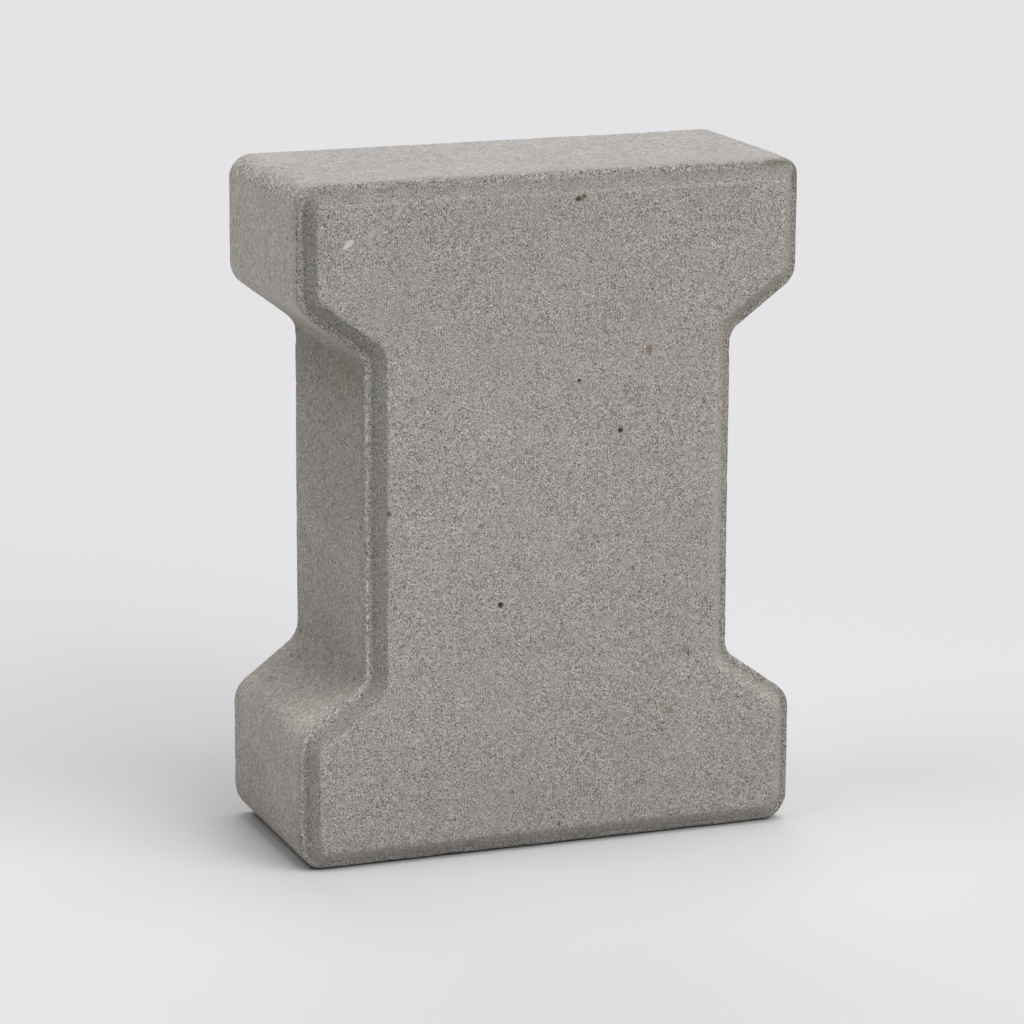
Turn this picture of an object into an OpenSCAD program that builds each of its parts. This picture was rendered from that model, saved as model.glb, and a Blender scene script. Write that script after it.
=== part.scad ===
// Double-T (I-shaped) interlocking concrete paver.
//
// One dry-pressed block: two wide heads joined by a narrower waist, so that
// each paver locks into the hollows of its neighbours. Round the wear face
// runs a stepped edge left by the press plate: a narrow ledge against the
// side, then a bevel that climbs to the face. The bed face and its edges are
// plain and sharp.
//
// The block stands on one end. +Z runs up along its length, X across the
// heads, and the wear face looks along -Y. The origin is the middle of the
// box's underside.

/* [Overall] */
// Length from end to end, upwards as the block stands
paver_length = 200; // [190:1:240]
// Width across the heads
head_width = 153.6; // [146:0.2:180]
// Width across the waist
waist_width = 112.8; // [100:0.2:124]
// Thickness from wear face to bed face
thickness = 65; // [40:1:100]

/* [Heads] */
// Straight side of the upper head, from the end to where its slant starts
upper_head = 35.5; // [30:0.5:45]
// Straight side of the lower head, from the end to where its slant starts
lower_head = 39; // [30:0.5:45]
// Length over which each head slants in to the waist
slant = 15.3; // [10:0.1:20]

/* [Corners] */
// Radius of the four corners at the ends
end_r = 7; // [7:0.1:9]
// Radius where the side of a head turns into its slant
head_r = 8.5; // [7:0.1:10]
// Radius of the hollow corner where a slant meets the waist
waist_r = 7; // [4.5:0.1:10]

/* [Stepped edge of the wear face] */
// Width of the ledge, from the side to the foot of the bevel
ledge = 2; // [1.6:0.1:2.2]
// Width of the bevel, from its foot to the wear face
bevel_w = 3.7; // [2.5:0.1:4.3]
// Depth of the ledge below the wear face
bevel_d = 2.6; // [2:0.1:4]
// Radius of the worn arris between ledge and side
arris_r = 0.9; // [0.5:0.1:1.2]

/* [Hidden] */
$fn = 96;

// How far the edge cutters reach out past the sides, and up past the face
past = 3;
lift = bevel_d / 10;

// The twelve corners of the outline, anticlockwise as seen from the wear
// face with the block lying on its bed: [x, y, radius, 1 outward or -1 hollow]
hw = head_width / 2;
ww = waist_width / 2;
low = lower_head;
high = paver_length - upper_head;
CORNERS = [
    [-hw, 0, end_r, 1],
    [hw, 0, end_r, 1],
    [hw, low, head_r, 1],
    [ww, low + slant, waist_r, -1],
    [ww, high - slant, waist_r, -1],
    [hw, high, head_r, 1],
    [hw, paver_length, end_r, 1],
    [-hw, paver_length, end_r, 1],
    [-hw, high, head_r, 1],
    [-ww, high - slant, waist_r, -1],
    [-ww, low + slant, waist_r, -1],
    [-hw, low, head_r, 1]
];
N = len(CORNERS);

function at(i) = let (c = CORNERS[(i + N) % N]) [c[0], c[1]];
function radius(i) = CORNERS[(i + N) % N][2];
function outward(i) = CORNERS[(i + N) % N][3] > 0;
function unit(v) = v / norm(v);
// Directions from corner i back along one edge and on along the next
function back(i) = unit(at(i - 1) - at(i));
function on(i) = unit(at(i + 1) - at(i));
// Half the angle between the two edges
function half(i) = acos(back(i) * on(i)) / 2;
// Where the corner's arc starts and ends, and its centre
function arc_from(i) = at(i) + back(i) * radius(i) / tan(half(i));
function arc_to(i) = at(i) + on(i) * radius(i) / tan(half(i));
function centre(i) = at(i) + unit(back(i) + on(i)) * radius(i) / sin(half(i));
function heading(v) = atan2(v[1], v[0]);

// Outline with true arcs: the corners cut off square, then the outward ones
// filled out by a disc and the hollow ones scooped by one
module outline() {
    difference() {
        union() {
            polygon([for (i = [0:N - 1]) each [arc_from(i), arc_to(i)]]);
            for (i = [0:N - 1]) if (outward(i))
                translate(centre(i)) circle(r = radius(i));
        }
        for (i = [0:N - 1]) if (!outward(i))
            translate(centre(i)) circle(r = radius(i));
    }
}

// Section of what the stepped edge takes away: x is the distance out from
// the side, y the height above the bed
module edge_section() {
    foot = thickness - bevel_d;
    difference() {
        polygon([
            [-ledge, foot],
            [-ledge - bevel_w * (1 + lift / bevel_d), thickness + lift],
            [past, thickness + lift],
            [past, foot - arris_r],
            [-arris_r, foot - arris_r],
            [-arris_r, foot]
        ]);
        translate([-arris_r, foot - arris_r]) circle(r = arris_r);
    }
}

// The stepped edge along the straight that leads up to corner i
module edge_straight(i) {
    a = arc_to(i - 1);
    b = arc_from(i);
    translate([b[0], b[1], 0])
        rotate([0, 0, heading(b - a) - 90])
            rotate([90, 0, 0])
                linear_extrude(height = norm(b - a))
                    edge_section();
}

// The stepped edge round the arc of corner i: the part of a full ring that
// lies between the radii to the two ends of the arc
module edge_corner(i) {
    c = centre(i);
    u = (arc_from(i) - c) * 6;
    v = (arc_to(i) - c) * 6;
    translate([c[0], c[1], 0])
        intersection() {
            rotate_extrude()
                translate([radius(i), 0])
                    mirror([outward(i) ? 0 : 1, 0])
                        edge_section();
            linear_extrude(height = thickness + past)
                polygon([[0, 0], u, u + v, v]);
        }
}

// The block lying on its bed, wear face up
module block() {
    difference() {
        linear_extrude(height = thickness) outline();
        for (i = [0:N - 1]) {
            edge_straight(i);
            edge_corner(i);
        }
    }
}

// The block stood on its end
module paver() {
    color([0.59, 0.575, 0.555])
        translate([0, thickness / 2, 0])
            rotate([90, 0, 0])
                block();
}

paver();
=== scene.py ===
"""Looks for the interlocking concrete paver: a worn, dry-pressed block with a stepped, bevelled wear face.

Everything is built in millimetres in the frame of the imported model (X across the heads, wear face towards -Y,
+Z up) and turned into metres when a mesh is written.
"""

import math

import bpy
import numpy as np
from mathutils import Matrix, Vector
from mathutils.geometry import delaunay_2d_cdt


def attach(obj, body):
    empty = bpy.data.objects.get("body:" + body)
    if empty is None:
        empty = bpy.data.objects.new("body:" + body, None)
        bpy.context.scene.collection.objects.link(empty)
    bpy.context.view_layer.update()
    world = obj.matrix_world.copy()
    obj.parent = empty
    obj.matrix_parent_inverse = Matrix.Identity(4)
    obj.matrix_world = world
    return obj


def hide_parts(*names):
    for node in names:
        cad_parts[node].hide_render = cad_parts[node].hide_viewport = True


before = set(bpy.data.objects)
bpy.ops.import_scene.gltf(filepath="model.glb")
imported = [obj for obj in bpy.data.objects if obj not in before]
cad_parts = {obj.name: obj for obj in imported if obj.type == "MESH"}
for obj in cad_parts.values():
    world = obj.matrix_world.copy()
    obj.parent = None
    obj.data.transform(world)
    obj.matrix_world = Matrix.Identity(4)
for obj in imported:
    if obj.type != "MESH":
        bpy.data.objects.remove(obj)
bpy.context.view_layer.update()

MM = 0.001

# ---------------------------------------------------------------------------------------------
# Sizes of the block, in millimetres, as in the construction
# ---------------------------------------------------------------------------------------------
LENGTH, HEAD_W, WAIST_W, THICK = 200.0, 153.6, 112.8, 65.0
UPPER, LOWER, SLANT = 35.5, 39.0, 15.3
LEDGE, BEVEL_W, BEVEL_D = 2.0, 3.7, 2.6
CREST = LEDGE + BEVEL_W
FACE_Y, BED_Y = -THICK / 2, THICK / 2

# Corners of the outline, anticlockwise seen from the wear face: x, z, radius at the front and at the back of the
# side, +1 outward or -1 hollow. They differ a little from the even drawing, as the photographed block's corners do.
CORNERS = [
    (-76.69, 0.0, 7.9, 10.2, 1),
    (76.78, 0.0, 8.2, 8.6, 1),
    (76.78, 39.0, 8.5, 8.5, 1),
    (56.15, 53.85, 5.6, 5.6, -1),
    (56.15, 149.95, 6.4, 6.4, -1),
    (76.78, 165.0, 7.8, 7.8, 1),
    (76.78, 200.0, 5.0, 2.9, 1),
    (-76.63, 200.0, 6.9, 6.9, 1),
    (-76.63, 164.6, 8.6, 8.6, 1),
    (-56.67, 149.65, 7.0, 7.2, -1),
    (-56.67, 54.45, 8.0, 8.0, -1),
    (-76.69, 39.5, 9.0, 9.0, 1),
]
NC = len(CORNERS)

# The runs of the edge between those corners: inset of the crest where bevel and wear face meet, then the lightness of
# the worn arris, the ledge and the bevel, how dark the line at the bevel's foot is, and how light the crest is. These
# tones are partly painted light and shade: runs turned towards the lamps are lighter and runs turned away darker, the
# foot's dark line is painted shade in the crease, and the crest's lightness is a painted highlight, painted shade
# where it is below zero.
RUNS = [
    (5.50, 0.280, 0.350, 0.305, 0.14, -0.10),  # underside
    (5.40, 0.310, 0.302, 0.370, 0.20, 0.02),  # lower head, right
    (5.60, 0.367, 0.365, 0.404, 0.04, 0.11),  # lower slant, right
    (5.50, 0.310, 0.357, 0.407, 0.18, 0.04),  # waist, right
    (5.50, 0.312, 0.310, 0.297, 0.12, 0.02),  # upper slant, right
    (5.10, 0.278, 0.338, 0.384, 0.10, 0.05),  # upper head, right
    (5.70, 0.378, 0.415, 0.322, 0.12, 0.10),  # top
    (5.40, 0.380, 0.324, 0.300, 0.26, -0.01),  # upper head, left
    (5.50, 0.283, 0.265, 0.234, 0.21, -0.15),  # upper slant, left
    (6.20, 0.455, 0.315, 0.303, 0.25, 0.08),  # waist, left
    (6.00, 0.470, 0.410, 0.355, 0.05, 0.12),  # lower slant, left
    (5.40, 0.400, 0.290, 0.324, 0.20, 0.09),  # lower head, left
]


# ---------------------------------------------------------------------------------------------
# Noise: smooth gradient noise on a seeded lattice, for the mesh
# ---------------------------------------------------------------------------------------------
def make_noise(seed):
    rng = np.random.RandomState(seed)
    perm = rng.permutation(256)
    perm = np.concatenate([perm, perm, perm])
    g = rng.normal(size=(256, 3))
    g /= np.linalg.norm(g, axis=1)[:, None]

    def noise(p):
        p = np.asarray(p, float)
        i = np.floor(p).astype(np.int64)
        f = p - i
        i &= 255
        u = f * f * f * (f * (f * 6 - 15) + 10)
        out = np.zeros(len(p))
        for dx in (0, 1):
            wx = u[:, 0] if dx else 1 - u[:, 0]
            for dy in (0, 1):
                wy = u[:, 1] if dy else 1 - u[:, 1]
                for dz in (0, 1):
                    wz = u[:, 2] if dz else 1 - u[:, 2]
                    h = perm[perm[perm[(i[:, 0] + dx) & 255] + ((i[:, 1] + dy) & 255)] + ((i[:, 2] + dz) & 255)]
                    out += wx * wy * wz * (g[h] * (f - (dx, dy, dz))).sum(1)
        return out * 1.6

    return noise


N1, N2, N3, N4 = (make_noise(s) for s in (11, 23, 37, 53))


def smooth(a, b, x):
    t = np.clip((x - a) / (b - a), 0, 1)
    return t * t * (3 - 2 * t)


# ---------------------------------------------------------------------------------------------
# Rings: the outline at an inset t from the side, always with the same number of points
# ---------------------------------------------------------------------------------------------
def _unit(v):
    return v / np.linalg.norm(v)


_P = np.array([c[:2] for c in CORNERS])
_BACK = np.array([_unit(_P[i - 1] - _P[i]) for i in range(NC)])
_ON = np.array([_unit(_P[(i + 1) % NC] - _P[i]) for i in range(NC)])
_HALF = np.array([math.acos(float(_BACK[i] @ _ON[i])) / 2 for i in range(NC)])


def _sharp(i, t):
    """Corner i of the sharp outline moved inwards by t."""
    bis = _unit(_BACK[i] + _ON[i]) * CORNERS[i][4]
    return _P[i] + bis * t / math.sin(_HALF[i])


def _corner_radius(i, t, dep):
    front, back, side = CORNERS[i][2:]
    r = front + (back - front) * min(1.0, dep / (14.0 if i == 6 else THICK))
    if side > 0:
        return max(r - (1.2 if i == 0 else 1.0) * t, 1.1 + 0.04 * max(0.0, 8.0 - t))
    return r + (8.6 - r) * t / CREST


def _counts(step_line, step_arc):
    lines, arcs = [], []
    for i in range(NC):
        j = (i + 1) % NC
        a = CORNERS[i][2] / math.tan(_HALF[i])
        b = CORNERS[j][2] / math.tan(_HALF[j])
        lines.append(max(2, int(round((np.linalg.norm(_P[j] - _P[i]) - a - b) / step_line))))
        arcs.append(max(6, int(round(CORNERS[i][2] * (math.pi - 2 * _HALF[i]) / step_arc[CORNERS[i][4] > 0]))))
    return lines, arcs


LINES, ARCS = _counts(0.80, (0.5, 0.62))


def ring(t, dep=0.0):
    """Points of the ring at inset t and depth dep, and their outward normals in the (x, z) plane."""
    pts, nrm = [], []
    arc_pts = []
    for i in range(NC):
        p, h, r, side = _sharp(i, t), _HALF[i], _corner_radius(i, t, dep), CORNERS[i][4]
        a = p + _BACK[i] * r / math.tan(h)
        b = p + _ON[i] * r / math.tan(h)
        c = p + _unit(_BACK[i] + _ON[i]) * r / math.sin(h)
        arc_pts.append((a, b, c, r, side))
    for i in range(NC):
        a, b, c, r, side = arc_pts[i]
        th0 = math.atan2(a[1] - c[1], a[0] - c[0])
        th1 = math.atan2(b[1] - c[1], b[0] - c[0])
        d = (th1 - th0 + math.pi) % (2 * math.pi) - math.pi
        for k in range(ARCS[i]):
            th = th0 + d * k / ARCS[i]
            v = np.array([math.cos(th), math.sin(th)])
            pts.append(c + r * v)
            nrm.append(v * side)
        a2 = arc_pts[(i + 1) % NC][0]
        e = _unit(_P[(i + 1) % NC] - _P[i])
        n = np.array([e[1], -e[0]])
        for k in range(LINES[i]):
            pts.append(b + (a2 - b) * k / LINES[i])
            nrm.append(n)
    return np.array(pts), np.array(nrm)


SEAM = ARCS[0] + LINES[0] // 2  # the first column lies in the middle of the underside


def stations():
    """Where each column lies round the outline: i at corner i, i + 0.5 half way to the next corner."""
    out = []
    for i in range(NC):
        out += [i - 0.15 + 0.30 * k / ARCS[i] for k in range(ARCS[i])]
        out += [i + 0.15 + 0.70 * k / LINES[i] for k in range(LINES[i])]
    return np.roll(np.array(out), -SEAM) % NC


def along_runs(column, station):
    """One column of RUNS at each station: level along a run, blended round the corners."""
    at, val = [], []
    for i, run in enumerate(RUNS):
        at += [i + 0.22, i + 0.78]
        val += [run[column]] * 2
    return np.interp(station, at, val, period=NC)


# ---------------------------------------------------------------------------------------------
# Section across the block, from the bed face round the side to the wear face:
# (inset from the side, depth below the wear face)
# ---------------------------------------------------------------------------------------------
ARRIS = 0.9


def section():
    rows = []
    # bed face and its sharp back arris
    rows += [(3.0, THICK), (1.4, THICK), (0.5, THICK), (0.14, THICK - 0.1), (0.0, THICK - 0.45)]
    # the side
    n = 38
    y0, y1 = THICK - 1.4, BEVEL_D + ARRIS + 0.5
    for k in range(n + 1):
        u = k / n
        rows.append((0.0, y0 + (y1 - y0) * (1 - (1 - u) ** 1.15)))
    # the worn arris
    for k in range(0, 7):
        a = math.radians(90 * k / 6)
        rows.append((ARRIS * (1 - math.cos(a)), BEVEL_D + ARRIS - ARRIS * math.sin(a)))
    # the ledge, then the foot of the bevel
    slope = BEVEL_D / BEVEL_W
    rows += [(1.35, BEVEL_D), (LEDGE - 0.12, BEVEL_D - 0.02), (LEDGE + 0.35, BEVEL_D - 0.35 * slope)]
    # the bevel
    for k in range(1, 6):
        u = 0.35 + (BEVEL_W - 0.85) * k / 6
        rows.append((LEDGE + u, BEVEL_D - u * slope))
    # the crest between bevel and wear face
    rows += [(CREST - 0.50, 0.31), (CREST - 0.05, 0.09), (CREST + 0.40, 0.0), (CREST + 1.1, 0.0), (CREST + 2.0, 0.0)]
    return rows


ROWS = section()


def build_surface():
    """Vertices (x, y, z), their insets, depths and outward normals in the (x, z) plane, the quads, and the columns and
    rows of the ring grid.
    """
    cols = sum(ARCS) + sum(LINES)
    V, T_IN, DEP, NRM = [], [], [], []
    # rings close together, to take the bevel's points from where its width changes along the edge
    fine = 0.25
    table = np.stack([np.roll(ring(k * fine)[0], -SEAM, axis=0) for k in range(38)])
    crest = along_runs(0, stations())
    for t, dep in ROWS:
        p, n = (np.roll(a, -SEAM, axis=0) for a in ring(t, dep))
        if t > LEDGE and dep < BEVEL_D:
            wide = np.where(t < CREST, LEDGE + (t - LEDGE) * (crest - LEDGE) / BEVEL_W, crest + t - CREST) / fine
            k = wide.astype(int)
            f = (wide - k)[:, None]
            p = table[k, np.arange(cols)] * (1 - f) + table[k + 1, np.arange(cols)] * f
        V.append(np.column_stack([p[:, 0], np.full(cols, FACE_Y + dep), p[:, 1]]))
        T_IN.append(np.full(cols, t))
        DEP.append(np.full(cols, dep))
        NRM.append(n)
    nr = len(ROWS)
    V = np.concatenate(V)
    T_IN, DEP, NRM = np.concatenate(T_IN), np.concatenate(DEP), np.concatenate(NRM)
    quads = []
    i = np.arange(cols)
    j = (i + 1) % cols
    for r in range(nr - 1):
        a, b = r * cols, (r + 1) * cols
        quads.append(np.column_stack([a + i, b + i, b + j, a + j]))
    quads = np.concatenate(quads)
    return V, T_IN, DEP, NRM, quads, cols, nr


def within(pts, loop, margin=0.0):
    """Which points lie inside the closed loop, and at least margin away from its points."""
    a, b = loop, np.roll(loop, -1, 0)
    keep = np.zeros(len(pts), bool)
    for s in range(0, len(pts), 2000):
        q = pts[s : s + 2000]
        cond = (a[None, :, 1] > q[:, None, 1]) != (b[None, :, 1] > q[:, None, 1])
        rise = b[:, 1] - a[:, 1]
        rise = np.where(np.abs(rise) < 1e-12, 1e-12, rise)
        xc = (b[:, 0] - a[:, 0])[None, :] * (q[:, None, 1] - a[None, :, 1]) / rise[None, :] + a[None, :, 0]
        keep[s : s + 2000] = (cond & (q[:, None, 0] < xc)).sum(1) % 2 == 1
        if margin:
            d2 = ((q[:, None, :] - a[None, :, :]) ** 2).sum(2).min(1)
            keep[s : s + 2000] &= d2 > margin * margin
    return keep


def fill_face(loop, spacing, extra, holes, margin, seed):
    """Triangulates the inside of a closed loop with evenly scattered points, denser rings at each hole in the list."""
    rng = np.random.RandomState(seed)
    lo, hi = loop.min(0), loop.max(0)
    dy = spacing * math.sqrt(3) / 2
    xs = np.arange(lo[0], hi[0] + spacing, spacing)
    zs = np.arange(lo[1], hi[1] + dy, dy)
    gx, gz = np.meshgrid(xs, zs)
    gx = gx + (np.arange(len(zs)) % 2)[:, None] * spacing / 2
    pts = np.column_stack([gx.ravel(), gz.ravel()])
    pts += rng.uniform(-0.22, 0.22, pts.shape) * spacing
    pts = pts[within(pts, loop, margin)]
    for x, z, r in holes:
        pts = pts[np.hypot(pts[:, 0] - x, pts[:, 1] - z) > r * 1.35]
    for x, z, r in holes:
        ringpts = [(x, z)]
        for f, n in ((0.34, 6), (0.68, 9), (0.95, 12), (1.18, 12)):
            ph = rng.uniform(0, 6.28)
            for k in range(n):
                ringpts.append((x + r * f * math.cos(ph + 6.2832 * k / n), z + r * f * math.sin(ph + 6.2832 * k / n)))
        pts = np.concatenate([pts, np.array(ringpts)])
    if len(extra):
        pts = np.concatenate([pts, np.array(extra)])
    n0 = len(loop)
    verts = [Vector(map(float, v)) for v in np.concatenate([loop, pts])]
    edges = [(k, (k + 1) % n0) for k in range(n0)]
    out = delaunay_2d_cdt(verts, edges, [], 1, 1e-6, True)
    ov, faces, orig = out[0], out[2], out[3]
    idx = {}
    for k, src in enumerate(orig):
        idx[k] = src[0] if len(src) else -1
    tris = np.array([[idx[k] for k in f] for f in faces])
    if (tris < 0).any() or tris.shape[1] != 3:
        raise RuntimeError("the face fill made points of its own")
    # three points of the loop itself make a triangle inside it only when they turn the way the loop does
    every = np.concatenate([loop, pts]).astype(np.float32).astype(float)
    p, q, r = (every[k] for k in np.sort(tris, axis=1).T)
    turn = (q[:, 0] - p[:, 0]) * (r[:, 1] - p[:, 1]) - (q[:, 1] - p[:, 1]) * (r[:, 0] - p[:, 0])
    x, z = loop.T
    way = np.sign((x * np.roll(z, -1) - z * np.roll(x, -1)).sum())
    tris = tris[np.where(tris.max(1) < n0, turn * way > 0, within(every[tris].mean(1), loop))]
    return pts, tris


# Pits in the wear face: x, z, radius, depth in millimetres
PITS = [
    (7.7, 139.4, 0.62, 0.9),
    (20.7, 123.8, 0.85, 1.1),
    (-16.3, 74.9, 0.95, 1.2),
    (7.0, 192.2, 0.80, 0.6),
    (8.9, 192.9, 0.60, 0.5),
    (2.2, 7.0, 0.7, 0.7),
    (-37.9, 165.3, 0.31, 0.20),
    (52.1, 171.1, 0.31, 0.20),
    (-5.2, 96.4, 0.31, 0.20),
    (30.9, 85.0, 0.31, 0.20),
    (-29.3, 133.1, 0.31, 0.20),
    (12.6, 59.3, 0.31, 0.20),
    (-47.4, 21.5, 0.33, 0.25),
]


def displace(V, N, t_in, dep, zone_face):
    """How far the skin moves in or out along N: wavy pressing marks, sandy grain and crumbled arrises."""
    P = V
    d = np.zeros(len(P))
    # unevenness of the mould and of the pressed face
    d += 0.10 * N1(P / 34.0) + 0.05 * N2(P / 13.0)
    # sandy grain
    arris = np.exp(-(((t_in - 0.4) / 0.9) ** 2)) * np.exp(-(((dep - BEVEL_D - 0.4) / 1.2) ** 2))
    band = smooth(5.0, 3.2, dep) * smooth(7.6, 6.4, t_in)
    grain = N3(P / 1.9) * 0.55 + N4(P / 1.15) * 0.45
    d += grain * (0.030 + 0.030 * zone_face + 0.045 * band + 0.03 * arris)
    # crumbled arrises: only ever lost material
    crumb = np.clip(N2(P / 2.6) + 0.5 * N4(P / 1.4) - 0.12, 0, 1)
    d -= crumb * (0.20 * arris)
    back = np.exp(-((t_in / 0.9) ** 2)) * np.exp(-(((dep - THICK) / 0.9) ** 2))
    d -= np.clip(N1(P / 3.1) + 0.5 * N3(P / 1.5) - 0.2, 0, 1) * 0.35 * back
    return d, arris, back, grain


# Lightness of the left side by height above the ground: partly uneven tone from the mould and wear, partly painted
# light and shade, darker under the upper head's overhang and next to the ground, lighter on the upward-facing lower
# slant
LEFT_SIDE = [
    (0, 0.412),
    (12, 0.478),
    (36, 0.528),
    (43, 0.585),
    (52, 0.520),
    (58, 0.425),
    (90, 0.466),
    (106, 0.416),
    (124, 0.410),
    (150, 0.326),
    (160, 0.390),
    (168, 0.553),
    (192, 0.556),
    (200, 0.512),
]


def lightness(V, station, t_in, dep):
    """Albedo of every vertex: the edge's tones, partly painted light and shade, broad differences on the wear face and
    painted shade near the ground.
    """
    x, z = V[:, 0], V[:, 2]
    arris, ledge, bevel, foot, bright = (along_runs(k, station) for k in (1, 2, 3, 4, 5))
    ragged = N3(V / 1.7) * 0.35
    t = t_in + ragged
    heights, left = zip(*LEFT_SIDE)
    side = np.where(x < 0, np.interp(z, heights, left), 0.45)
    side = side + (0.480 - side) * smooth(197.2, 198.9, z)
    # painted highlight: the upward-facing lower left slant is lighter towards the wear face, and darker towards the
    # back
    slant = np.exp(-(((z - 44.5) / 6.0) ** 2)) * (x < 0)
    side = side * (1 + 0.09 * slant * smooth(44, 10, dep)) * (1 - 0.11 * slant * smooth(30, 52, dep))
    # towards the wear face the sides darken over the last few millimetres
    out = side * (1 - 0.10 * smooth(9.0, 3.5, dep))
    out = out + (arris - out) * smooth(BEVEL_D + 1.3, BEVEL_D + 0.6, dep + ragged)
    out = out + (ledge - out) * smooth(0.5, 1.1, t) * (dep < BEVEL_D + 0.5)
    # the bevel lightens from its foot to its crest
    up = np.clip((t - LEDGE) / BEVEL_W, 0, 1)
    slope = bevel * (0.93 + 0.12 * up)
    out = out + (slope - out) * smooth(LEDGE - 0.1, LEDGE + 0.5, t) * (dep < BEVEL_D + 0.1)
    # painted shade: a dark line in the crease at the bevel's foot
    out = out * (1 - foot * np.exp(-(((t - LEDGE - 0.15) / 0.3) ** 2)) * (dep < BEVEL_D + 0.1))
    # the wear face
    face = 0.406 * (1 - 0.064 * smooth(48, 4, z)) * (1 + 0.015 * smooth(60, 120, z))
    face *= 1 - 0.035 * np.exp(-(((x + 32) / 34) ** 2) - ((z - 182) / 24) ** 2)
    face *= 1 + 0.030 * np.exp(-(((x + 14) / 26) ** 2) - ((z - 118) / 30) ** 2)
    # painted highlight along the crest, and painted shade there on runs whose value is below zero
    crest = np.exp(-(((t - CREST - 0.15) / 0.5) ** 2))
    on_face = smooth(CREST - 0.45, CREST + 0.1, t) * (dep < 0.6)
    out = out + (face * (1 + bright * crest) - out) * on_face
    # the bed face
    out = np.where(dep > THICK - 0.2, 0.40, out)
    # painted shade next to the ground: darker over the lowest few millimetres, fading out over the last 3 mm before
    # the bed face
    out = out * (1 - 0.35 * smooth(2.6, 0.2, z) * smooth(THICK, THICK - 3, dep))
    return out


def unwrap(me, P, quads, tris, cols, nr, travelled):
    """A map with the wear face largest, the bed face smaller and the sides as three strips, on a sheet 1024 wide."""
    rows = np.array(ROWS)
    down = np.concatenate([[0.0], np.cumsum(np.hypot(np.diff(rows[:, 0]), np.diff(rows[:, 1])))])
    first_side = 3
    last_side = int(np.argmin(np.abs(rows[:, 0] - ARRIS * (1 - math.cos(math.pi / 4))) + 50 * (rows[:, 1] > 6)))
    front, back, side = 4.0, 2.0, 2.3
    total = travelled[-1]
    long_strip = 1000.0 / side
    short = (total - long_strip) / 2
    starts = [0.0, long_strip, long_strip + short, total + 1]
    origins = [(12.0, 824.0), (640.0, 424.0), (640.0, 624.0)]

    def on_front(v):
        return np.column_stack([12 + (v[:, 0] + HEAD_W / 2) * front, 12 + v[:, 2] * front])

    def on_back(v):
        return np.column_stack([640 + (HEAD_W / 2 - v[:, 0]) * back, 12 + v[:, 2] * back])

    uv = []
    row_of = quads.min(1) // cols
    col = quads % cols
    wraps = col.max(1) - col.min(1) > cols // 2
    col_at = travelled[np.where(wraps[:, None] & (col == 0), cols, col)]
    strip = np.searchsorted(np.array(starts[1:]), col_at.min(1), side="right")
    for k in range(4):
        v = quads[:, k]
        a = on_front(P[v])
        b = on_back(P[v])
        o = np.array([origins[i] for i in np.clip(strip, 0, 2)])
        c = np.column_stack(
            [
                o[:, 0] + (col_at[:, k] - np.array(starts)[np.clip(strip, 0, 2)]) * side,
                o[:, 1] + (down[v // cols] - down[first_side]) * side,
            ]
        )
        uv.append(np.where((row_of >= last_side)[:, None], a, np.where((row_of < first_side)[:, None], b, c)))
    uv = np.stack(uv, 1).reshape(-1, 2)
    mid = P[tris].mean(1)[:, 1] < 0
    t = np.stack([np.where(mid[:, None], on_front(P[tris[:, k]]), on_back(P[tris[:, k]])) for k in range(3)], 1)
    uv = np.concatenate([uv, t.reshape(-1, 2)]) / 1024.0
    layer = me.uv_layers.new(name="OFBake")
    if len(layer.uv) != len(uv):
        raise RuntimeError("the map doesn't fit the mesh")
    layer.uv.foreach_set("vector", np.ascontiguousarray(uv.ravel(), dtype=np.float32))


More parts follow.
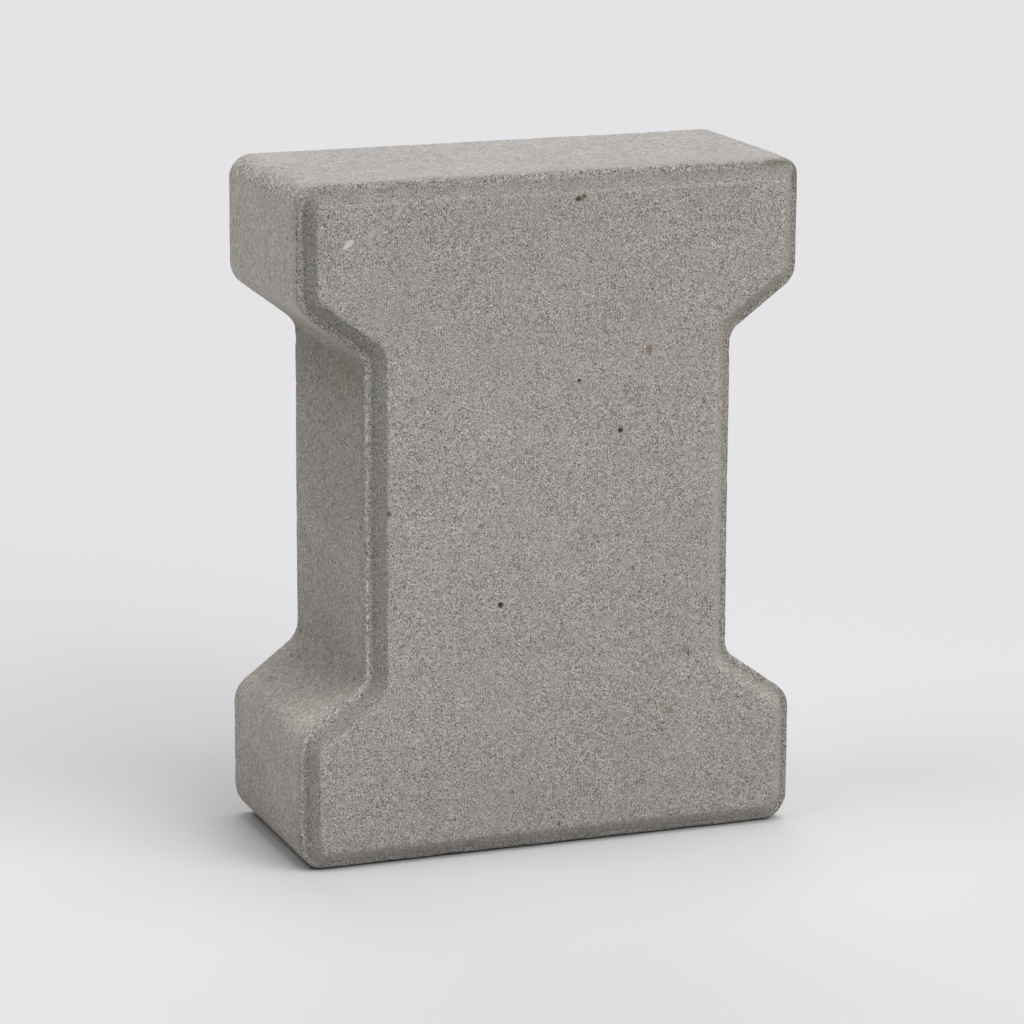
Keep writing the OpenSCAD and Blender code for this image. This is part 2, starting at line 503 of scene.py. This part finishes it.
def make_mesh(name):
    V, T_IN, DEP, NRM, quads, cols, nr = build_surface()
    # wear face inside the last ring, bed face inside the first
    last = V[(nr - 1) * cols :][:, [0, 2]]
    first = V[:cols][:, [0, 2]]
    holes = [(x, z, r) for x, z, r, _ in PITS]
    fpts, ftris = fill_face(last, 0.93, [], holes, 0.55, 5)
    bpts, btris = fill_face(first, 2.6, [], [], 1.2, 6)
    nb = len(V)
    fv = np.column_stack([fpts[:, 0], np.full(len(fpts), FACE_Y), fpts[:, 1]])
    bv = np.column_stack([bpts[:, 0], np.full(len(bpts), BED_Y), bpts[:, 1]])
    allv = np.concatenate([V, fv, bv])
    ftri = np.where(ftris < cols, ftris + (nr - 1) * cols, ftris - cols + nb)
    btri = np.where(btris < cols, btris, btris - cols + nb + len(fv))
    tin = np.concatenate([T_IN, np.full(len(fv), 20.0), np.full(len(bv), 20.0)])
    dep = np.concatenate([DEP, np.zeros(len(fv)), np.full(len(bv), THICK)])
    # outward orientation
    tris = []
    p = allv
    n = np.cross(p[ftri[:, 1]] - p[ftri[:, 0]], p[ftri[:, 2]] - p[ftri[:, 0]])[:, 1]
    ftri[n > 0] = ftri[n > 0][:, ::-1]
    n = np.cross(p[btri[:, 1]] - p[btri[:, 0]], p[btri[:, 2]] - p[btri[:, 0]])[:, 1]
    btri[n < 0] = btri[n < 0][:, ::-1]
    tris = np.concatenate([ftri, btri])
    q = quads
    c = p[q].mean(1)
    nq = np.cross(p[q[:, 2]] - p[q[:, 0]], p[q[:, 3]] - p[q[:, 1]])
    side = np.abs(c[:, 1]) < 20
    grid_n = np.concatenate([NRM, np.zeros((len(fv) + len(bv), 2))])
    outward = (nq[side][:, [0, 2]] * grid_n[q[side][:, 0]]).sum(1)
    if outward.mean() < 0:
        quads = quads[:, ::-1]

    # smooth vertex normals of the undisturbed skin
    def vertex_normals(P):
        acc = np.zeros_like(P)
        nq = np.cross(P[quads[:, 2]] - P[quads[:, 0]], P[quads[:, 3]] - P[quads[:, 1]])
        for k in range(4):
            np.add.at(acc, quads[:, k], nq)
        nt = np.cross(P[tris[:, 1]] - P[tris[:, 0]], P[tris[:, 2]] - P[tris[:, 0]])
        for k in range(3):
            np.add.at(acc, tris[:, k], nt)
        return acc / (np.linalg.norm(acc, axis=1)[:, None] + 1e-12)

    VN = vertex_normals(allv)
    zone_face = ((dep < 0.2) & (tin > 5.5)).astype(float)
    d, arris, back, grain = displace(allv, VN, tin, dep, zone_face)
    # pits
    pit = np.zeros(len(allv))
    for x, z, r, depth in PITS:
        rr = np.hypot(allv[:, 0] - x, allv[:, 2] - z) / r
        m = (rr < 1.25) & (dep < 0.3)
        bowl = np.where(rr < 1, (1 - rr**2.4), 0)
        d[m] -= (depth * bowl)[m]
        pit[m] = np.maximum(pit[m], smooth(1.1, 0.7, rr[m]))
    W = allv + VN * d[:, None]
    # the block bears on the ground a little way in: under its front arris is a narrow, uneven gap
    gap = (0.70 + 0.30 * N2(allv / 9.0)) * smooth(20, 9, dep) * smooth(0.0, 5.0, HEAD_W / 2 - np.abs(allv[:, 0]))
    W[:, 2] = np.maximum(W[:, 2], gap)
    # nothing stands proud of the construction's box
    W[:, 0] = np.clip(W[:, 0], -HEAD_W / 2, HEAD_W / 2)
    W[:, 1] = np.clip(W[:, 1], FACE_Y, BED_Y)
    W[:, 2] = np.clip(W[:, 2], 0, LENGTH)

    round_edge = np.concatenate([np.tile(stations(), nr), np.zeros(len(fv) + len(bv))])
    albedo = lightness(allv, round_edge, tin, dep)

    # distance along the outline, for marks that the mould left along the sides
    outline = np.roll(ring(0.0)[0], -SEAM, axis=0)
    step = np.linalg.norm(np.roll(outline, -1, 0) - outline, axis=1)
    travelled = np.concatenate([[0.0], np.cumsum(step)])
    along = np.concatenate([np.tile(travelled[:-1], nr), np.zeros(len(fv) + len(bv))])

    me = bpy.data.meshes.new(name)
    faces = [tuple(map(int, f)) for f in quads] + [tuple(map(int, f)) for f in tris]
    me.from_pydata([tuple(v) for v in W * MM], [], faces)
    me.update()
    me.validate()
    me.polygons.foreach_set("use_smooth", [True] * len(me.polygons))

    def attribute(key, values):
        at = me.attributes.new(key, "FLOAT", "POINT")
        at.data.foreach_set("value", np.ascontiguousarray(values, dtype=np.float32))

    attribute("inset", tin)
    attribute("depth", dep)
    attribute("pit", pit)
    attribute("arris", np.clip(arris + back, 0, 1))
    attribute("along", along)
    attribute("albedo", albedo)
    unwrap(me, allv, quads, tris, cols, nr, travelled)
    ob = bpy.data.objects.new(name, me)
    bpy.context.scene.collection.objects.link(ob)
    print("mesh", name, "verts", len(W), "tris", 2 * len(quads) + len(tris))
    return ob


# ---------------------------------------------------------------------------------------------
# Materials
# ---------------------------------------------------------------------------------------------
def plain(name, colour, rough):
    m = bpy.data.materials.new(name)
    m.use_nodes = True
    b = m.node_tree.nodes["Principled BSDF"]
    b.inputs["Base Color"].default_value = (*colour, 1)
    b.inputs["Roughness"].default_value = rough
    return m


class Graph:
    """Short names for the shader nodes used below. Lengths are in millimetres."""

    def __init__(self, tree):
        self.tree = tree

    def put(self, socket, value):
        if hasattr(value, "is_output"):
            self.tree.links.new(value, socket)
        elif value is not None:
            socket.default_value = value

    def math(self, op, a, b=None, c=None, clamp=False):
        n = self.tree.nodes.new("ShaderNodeMath")
        n.operation, n.use_clamp = op, clamp
        for k, v in enumerate((a, b, c)):
            if v is not None:
                self.put(n.inputs[k], v)
        return n.outputs[0]

    def add(self, a, b):
        return self.math("ADD", a, b)

    def mul(self, a, b):
        return self.math("MULTIPLY", a, b)

    def vec(self, op, a, b=None, scale=None):
        n = self.tree.nodes.new("ShaderNodeVectorMath")
        n.operation = op
        self.put(n.inputs[0], a)
        if b is not None:
            self.put(n.inputs[1], b)
        if scale is not None:
            self.put(n.inputs["Scale"], scale)
        return n.outputs["Value" if op in ("LENGTH", "DISTANCE", "DOT_PRODUCT") else "Vector"]

    def span(self, value, a, b, c=0.0, d=1.0, soft=True):
        """c at a, d at b, smooth or straight between them and level beyond."""
        n = self.tree.nodes.new("ShaderNodeMapRange")
        n.interpolation_type = "SMOOTHSTEP" if soft else "LINEAR"
        n.clamp = True
        self.put(n.inputs["Value"], value)
        for key, v in (("From Min", a), ("From Max", b), ("To Min", c), ("To Max", d)):
            self.put(n.inputs[key], v)
        return n.outputs["Result"]

    def noise(self, where, size, detail=1.0, rough=0.5, shift=(0, 0, 0)):
        """Noise from 0 to 1, about 0.5, whose blotches are about size across."""
        v = self.vec("ADD", where, shift) if any(shift) else where
        n = self.tree.nodes.new("ShaderNodeTexNoise")
        self.put(n.inputs["Vector"], v)
        n.inputs["Scale"].default_value = 1.0 / size
        n.inputs["Detail"].default_value = detail
        n.inputs["Roughness"].default_value = rough
        return n.outputs["Fac"]

    def cells(self, where, size, feature="F1", out="Distance", randomness=1.0, shift=(0, 0, 0)):
        v = self.vec("ADD", where, shift) if any(shift) else where
        n = self.tree.nodes.new("ShaderNodeTexVoronoi")
        n.feature = feature
        self.put(n.inputs["Vector"], v)
        n.inputs["Scale"].default_value = 1.0 / size
        n.inputs["Randomness"].default_value = randomness
        return n.outputs[out]

    def attr(self, key):
        n = self.tree.nodes.new("ShaderNodeAttribute")
        n.attribute_name = key
        return n.outputs["Fac"]

    def mix(self, fac, a, b, blend="MIX"):
        n = self.tree.nodes.new("ShaderNodeMix")
        n.data_type, n.blend_type, n.clamp_factor = "RGBA", blend, True
        self.put(n.inputs[0], fac)
        self.put(n.inputs[6], (*a, 1) if isinstance(a, tuple) else a)
        self.put(n.inputs[7], (*b, 1) if isinstance(b, tuple) else b)
        return n.outputs[2]

    def lerp(self, fac, a, b):
        n = self.tree.nodes.new("ShaderNodeMix")
        n.data_type, n.clamp_factor = "FLOAT", True
        self.put(n.inputs[0], fac)
        self.put(n.inputs[2], a)
        self.put(n.inputs[3], b)
        return n.outputs[0]

    def patch(self, where, at, size, turn=(0, 0, 0), edge=(1.25, 0.75), ragged=None, amount=0.35):
        """1 inside an ellipsoid of the half-sizes given, 0 outside, with a soft and ragged edge."""
        n = self.tree.nodes.new("ShaderNodeMapping")
        n.vector_type = "TEXTURE"
        self.put(n.inputs["Vector"], where)
        n.inputs["Location"].default_value = at
        n.inputs["Rotation"].default_value = turn
        n.inputs["Scale"].default_value = size
        d = self.vec("LENGTH", n.outputs["Vector"])
        if ragged is not None:
            d = self.math("MULTIPLY_ADD", ragged, amount * 2, self.math("SUBTRACT", d, amount))
        return self.span(d, edge[0], edge[1])


FLAT = 1e4  # a half-size that makes a patch reach right through

# Marks on the wear face: colour, strength, (x, z), half-sizes, turn in degrees, soft edge
MARKS = [
    # lime bloom near the upper left corner, with two faint smears
    ((0.74, 0.72, 0.68), 1.00, (-62.4, 183.2), (1.9, 0.95), -36, (1.2, 0.6)),
    ((0.56, 0.545, 0.505), 0.78, (-55.4, 185.6), (2.0, 0.8), -45, (1.4, 0.3)),
    ((0.50, 0.485, 0.450), 0.50, (-55.6, 183.3), (1.6, 1.0), -20, (1.4, 0.3)),
    ((0.56, 0.545, 0.505), 0.80, (-47.2, 191.9), (2.2, 0.8), -50, (1.4, 0.3)),
    ((0.48, 0.465, 0.43), 0.18, (-50.3, 188.6), (5.5, 0.8), -40, (1.6, 0.2)),
    ((0.44, 0.43, 0.41), 0.35, (-11.7, 181.3), (2.2, 1.2), -20, (1.4, 0.3)),
    # brown and reddish stones of the mix
    ((0.300, 0.215, 0.150), 0.75, (29.4, 147.0), (1.2, 1.6), 15, (1.25, 0.6)),
    ((0.300, 0.215, 0.150), 0.68, (41.9, 56.3), (1.3, 1.0), -30, (1.25, 0.6)),
    ((0.290, 0.225, 0.165), 0.82, (-41.7, 111.9), (1.0, 0.8), 0, (1.3, 0.6)),
    ((0.170, 0.140, 0.092), 0.70, (7.9, 192.5), (1.9, 0.9), -12, (1.3, 0.5)),
    ((0.270, 0.205, 0.145), 0.64, (37.1, 38.3), (1.7, 1.1), 20, (1.4, 0.4)),
    ((0.330, 0.262, 0.232), 0.28, (25.4, 158.1), (3.2, 2.4), 0, (1.5, 0.3)),
    ((0.330, 0.270, 0.240), 0.24, (23.4, 132.2), (2.2, 1.6), 0, (1.5, 0.3)),
    # the top right corner is stained dark
    ((0.185, 0.180, 0.135), 0.50, (69.8, 199.0), (5.5, 1.1), 0, (1.3, 0.5)),
    ((0.185, 0.180, 0.135), 0.60, (76.0, 194.2), (1.2, 4.8), 0, (1.3, 0.5)),
    # dark flecks
    ((0.130, 0.122, 0.105), 0.60, (-22.2, 98.9), (0.7, 0.5), 0, (1.3, 0.6)),
    ((0.150, 0.140, 0.120), 0.65, (-12.4, 18.1), (0.8, 0.6), 0, (1.3, 0.6)),
    ((0.150, 0.140, 0.120), 0.68, (25.0, 82.5), (0.6, 0.9), 0, (1.3, 0.6)),
    ((0.110, 0.100, 0.085), 0.80, (-50.4, 104.8), (0.7, 0.9), 0, (1.2, 0.6)),
    ((0.110, 0.100, 0.080), 0.80, (42.8, 55.3), (0.5, 0.6), 0, (1.2, 0.6)),
]


def concrete():
    m = bpy.data.materials.new("concrete")
    m.use_nodes = True
    nt = m.node_tree
    bsdf = nt.nodes["Principled BSDF"]
    g = Graph(nt)
    P = g.vec("SCALE", nt.nodes.new("ShaderNodeTexCoord").outputs["Object"], scale=1000.0)
    split = nt.nodes.new("ShaderNodeSeparateXYZ")
    g.put(split.inputs[0], P)
    X, Y, Z = split.outputs
    inset, depth, along = g.attr("inset"), g.attr("depth"), g.attr("along")

    # ---- where on the block ----
    wobble = g.noise(P, 1.3, 0.0)
    depth_w = g.math("MULTIPLY_ADD", wobble, 1.2, g.math("SUBTRACT", depth, 0.6))
    near_front = g.span(depth, 3.3, 2.7)
    bed = g.span(depth, 64.3, 64.9)
    side = g.mul(g.span(depth_w, 3.4, 4.4), g.math("SUBTRACT", 1.0, bed))
    top = g.mul(g.span(Z, 198.6, 199.4), g.span(depth, 2.9, 3.5))
    ledge = g.mul(g.span(inset, 2.6, 1.7), g.span(depth_w, 4.4, 3.4))
    bevel = g.mul(g.mul(g.span(inset, 1.9, 2.5), g.span(inset, CREST - 0.1, CREST - 0.7)), near_front)
    waist = g.span(g.math("ABSOLUTE", X), 66.0, 59.0)

    # ---- sandy grain ----
    # On the sides the mould drew some of it out along the outline.
    comb = nt.nodes.new("ShaderNodeCombineXYZ")
    g.put(comb.inputs[0], g.mul(along, 0.30))
    g.put(comb.inputs[1], depth)
    drawn = comb.outputs[0]
    fine = g.noise(P, 0.40, 1.0, 0.6)
    coarse = g.noise(P, 0.80, 1.0, 0.5, (31.7, 5.1, 12.4))
    grains = g.cells(P, 0.78, out="Color", shift=(3.3, 8.8, 1.7))
    gsep = nt.nodes.new("ShaderNodeSeparateColor")
    g.put(gsep.inputs[0], grains)
    grain_v = gsep.outputs[0]
    # quiet patches, where cement paste or a flat pebble covers the sand
    quiet = g.span(g.noise(P, 3.1, 1.5, 0.5, (77.0, 14.0, 3.0)), 0.60, 0.70)
    loud = g.span(g.noise(P, 5.2, 1.0, 0.5, (9.0, 44.0, 23.0)), 0.30, 0.70, 0.86, 1.14)
    # the bevels, the heads' sides and the top came smoother from the mould
    calm = g.lerp(side, g.lerp(bevel, 1.0, 0.78), g.lerp(waist, g.span(Z, 60.0, 140.0, 0.76, 0.70), 0.88))
    calm = g.lerp(top, calm, 0.68)
    # the rounding between the top and the left side is worn rough
    rough_edge = g.mul(g.patch(P, (-75.2, 0.0, 196.6), (2.3, FLAT, 2.3), edge=(1.3, 0.6)), g.span(depth, 3.0, 5.0))
    calm = g.add(calm, g.mul(rough_edge, 0.55))
    grain_amp = g.mul(g.mul(g.lerp(quiet, 1.0, 0.45), loud), calm)
    amp_fine = g.lerp(side, 2.95, 2.2)
    amp_coarse = g.lerp(side, g.lerp(ledge, 0.28, 1.4), 1.38)
    s0 = g.mul(g.math("SUBTRACT", fine, 0.5), amp_fine)
    s1 = g.mul(g.math("SUBTRACT", coarse, 0.5), amp_coarse)
    s2 = g.mul(g.math("SUBTRACT", grain_v, 0.5), 0.28)
    sand = g.mul(g.add(g.add(s0, s1), s2), grain_amp)
    streak = g.noise(drawn, 1.1, 2.0, 0.6, (100.0, 0, 0))
    speckle = g.add(sand, g.mul(g.mul(g.mul(g.math("SUBTRACT", streak, 0.5), 0.9), side), calm))
    # pores: small, dark and scattered, a little darker on the sides
    pore_where = g.cells(P, 2.3, out="Distance", shift=(7.0, 2.0, 5.0))
    pore_pick = g.noise(P, 4.1, 1.0, 0.5, (3.0, 61.0, 17.0))
    pore = g.mul(g.span(pore_where, 0.20, 0.11), g.span(pore_pick, 0.52, 0.60))

    # ---- broad mottling ----
    cloud = g.noise(P, 26.0, 3.0, 0.55, (2.0, 9.0, 4.0))
    blot = g.noise(P, 7.5, 2.5, 0.6, (12.0, 1.0, 8.0))
    mott = g.add(
        g.mul(g.math("SUBTRACT", cloud, 0.5), g.lerp(side, 0.15, 0.22)),
        g.mul(g.math("SUBTRACT", blot, 0.5), g.lerp(side, 0.16, 0.22)),
    )

    # ---- brightness ----
    tone = g.math("ADD", 1.0, g.add(speckle, mott))
    tone = g.math("MAXIMUM", g.math("SUBTRACT", tone, g.mul(pore, g.lerp(side, 0.30, 0.34))), 0.22)
    value = g.mul(g.attr("albedo"), tone)

    # ---- colour ----
    tint_noise = g.noise(P, 11.0, 2.0, 0.5, (51.0, 2.0, 33.0))
    drift = g.span(tint_noise, 0.35, 0.65)
    tint = g.mix(drift, (1.056, 0.998, 0.922), (1.040, 1.002, 0.920))
    # the sides are tinted warmer than the wear face: painted warm bounce light, strongest in the shaded waist
    tint_head = g.mix(drift, (1.077, 0.999, 0.912), (1.067, 1.001, 0.918))
    tint_waist = g.mix(drift, (1.096, 0.998, 0.893), (1.082, 1.001, 0.902))
    tint = g.mix(side, tint, g.mix(g.mul(waist, g.span(Z, 46.0, 62.0)), tint_head, tint_waist))
    # earth has worked into the outer edge on the right
    earth = g.mul(g.mul(g.span(inset, CREST - 0.2, CREST - 1.4), near_front), g.span(X, 49.0, 53.0))
    earth = g.mul(earth, g.span(Z, 195.0, 191.5))
    tint = g.mix(g.mul(earth, g.span(Z, 60.0, 155.0, 0.32, 0.78)), tint, (1.090, 1.0, 0.855))
    tint = g.mix(top, tint, (1.051, 1.0, 0.960))
    base = g.vec("SCALE", tint, scale=value)

    # ---- single marks: soft patches of another colour or lightness ----
    rag = g.noise(P, 1.1, 2.0, 0.6, (21.0, 4.0, 9.0))

    def mark(base, colour, amount, at, size, turn=0.0, edge=(1.25, 0.75), rough=0.5):
        """Lays colour over base inside a ragged ellipse on the wear face."""
        inside = g.patch(P, (at[0], FACE_Y, at[1]), (size[0], FLAT, size[1]), (0, math.radians(turn), 0), edge, rag, rough)
        return g.mix(g.mul(g.mul(inside, amount), near_front), base, colour)

    for colour, amount, at, size, turn, edge in MARKS:
        base = mark(base, colour, amount, at, size, turn, edge)
    # the large pits are darkened almost to black inside, with a greenish cast
    base = g.mix(g.mul(g.attr("pit"), 0.80), base, (0.060, 0.057, 0.036))

    # a dark speck on the side of the upper left head
    speck = g.patch(P, (-76.7, -21.5, 183.9), (3.0, 0.8, 0.6), (math.radians(35), 0, 0), (1.3, 0.5), rag, 0.4)
    base = g.mix(g.mul(speck, 0.70), base, (0.130, 0.120, 0.100))
    # a rusty brown stain high on the left waist
    stain = g.patch(P, (-56.75, -12.5, 141.0), (6.0, 5.5, 7.5), (0, 0, 0), (1.5, 0.4), blot, 0.8)
    base = g.mix(g.mul(stain, 0.55), base, g.vec("MULTIPLY", base, (1.10, 0.95, 0.86)))

    nt.links.new(base, bsdf.inputs["Base Color"])
    bsdf.inputs["Roughness"].default_value = 0.93
    bsdf.inputs["Specular IOR Level"].default_value = 0.2

    # ---- relief finer than the mesh ----
    relief = g.add(
        g.mul(g.math("SUBTRACT", fine, 0.5), g.lerp(side, 0.10, 0.06)),
        g.mul(g.math("SUBTRACT", coarse, 0.5), g.lerp(side, 0.10, 0.07)),
    )
    bump = nt.nodes.new("ShaderNodeBump")
    bump.inputs["Distance"].default_value = 0.001
    bump.inputs["Strength"].default_value = 1.0
    g.put(bump.inputs["Height"], relief)
    nt.links.new(bump.outputs["Normal"], bsdf.inputs["Normal"])
    return m


# ---------------------------------------------------------------------------------------------
# The piece
# ---------------------------------------------------------------------------------------------
block = make_mesh("paver_block")
block.data.materials.append(concrete())
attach(block, "root")
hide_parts("paver")

# ---------------------------------------------------------------------------------------------
# Floor, light and camera
# ---------------------------------------------------------------------------------------------
fm = bpy.data.meshes.new("studio_floor")
S = 30.0
fm.from_pydata([(-S, -S, 0), (S, -S, 0), (S, S, 0), (-S, S, 0)], [], [(0, 1, 2, 3)])
floor = bpy.data.objects.new("studio_floor", fm)
bpy.context.scene.collection.objects.link(floor)
fm.materials.append(plain("studio_paper", (0.800, 0.800, 0.816), 0.9))

# The lamps alone light the block; the world only shows, above a low view's horizon, in the floor's own tone.
world = bpy.data.worlds.new("studio")
bpy.context.scene.world = world
world.use_nodes = True
wt = world.node_tree
shown = wt.nodes.new("ShaderNodeLightPath").outputs["Is Camera Ray"]
wt.nodes["Background"].inputs["Color"].default_value = (0.764, 0.764, 0.778, 1)
wt.links.new(shown, wt.nodes["Background"].inputs["Strength"])


def lamp(name, az, el, strength, angle=34.0, colour=(1, 1, 1)):
    """A soft lamp seen from azimuth az (0 is in front, 90 to the right) and elevation el."""
    l = bpy.data.lights.new(name, "SUN")
    l.energy = strength
    l.angle = math.radians(angle)
    l.color = colour
    o = bpy.data.objects.new(name, l)
    bpy.context.scene.collection.objects.link(o)
    a, e = math.radians(az), math.radians(el)
    d = Vector((math.sin(a) * math.cos(e), -math.cos(a) * math.cos(e), math.sin(e)))
    o.rotation_euler = d.to_track_quat("Z", "Y").to_euler()
    o.location = d * 2
    return o


lamp("key_right", 45, 46, 0.737)
lamp("key_front", 15, 35, 0.707)
lamp("back", 165, 35, 0.450)
lamp("left_high", 270, 57, 0.591)
lamp("overhead_back", 135, 80, 0.728)
lamp("overhead_right", 45, 80, 0.686)

# The camera stands where the photograph's did: 21.2 degrees round to the left of the wear face, 13.2 degrees up
YAW, PITCH, ROLL = (math.radians(v) for v in (21.2108, 13.2303, 0.2117))
dirn = Vector((-math.sin(YAW) * math.cos(PITCH), -math.cos(YAW) * math.cos(PITCH), math.sin(PITCH)))
right = (-dirn).cross(Vector((0, 0, 1))).normalized()
up = right.cross(-dirn)
c, s = math.cos(ROLL), math.sin(ROLL)
r2, u2 = right * c + up * s, up * c - right * s
cam_at = Vector((0, 2.395, 100.299)) + dirn * 1329.194 + r2 * 0.5578 + u2 * (-6.5662)
cam = bpy.data.cameras.new("camera")
cam.sensor_fit = "HORIZONTAL"
cam.sensor_width = 36
cam.lens = 4492.521 / 1024 * 36
cam.clip_start, cam.clip_end = 0.05, 200
co = bpy.data.objects.new("camera", cam)
bpy.context.scene.collection.objects.link(co)
rot = Matrix((r2, u2, dirn)).transposed()
co.matrix_world = Matrix.Translation(cam_at * MM) @ rot.to_4x4()
bpy.context.scene.camera = co

bpy.context.scene.view_settings.view_transform = "Standard"
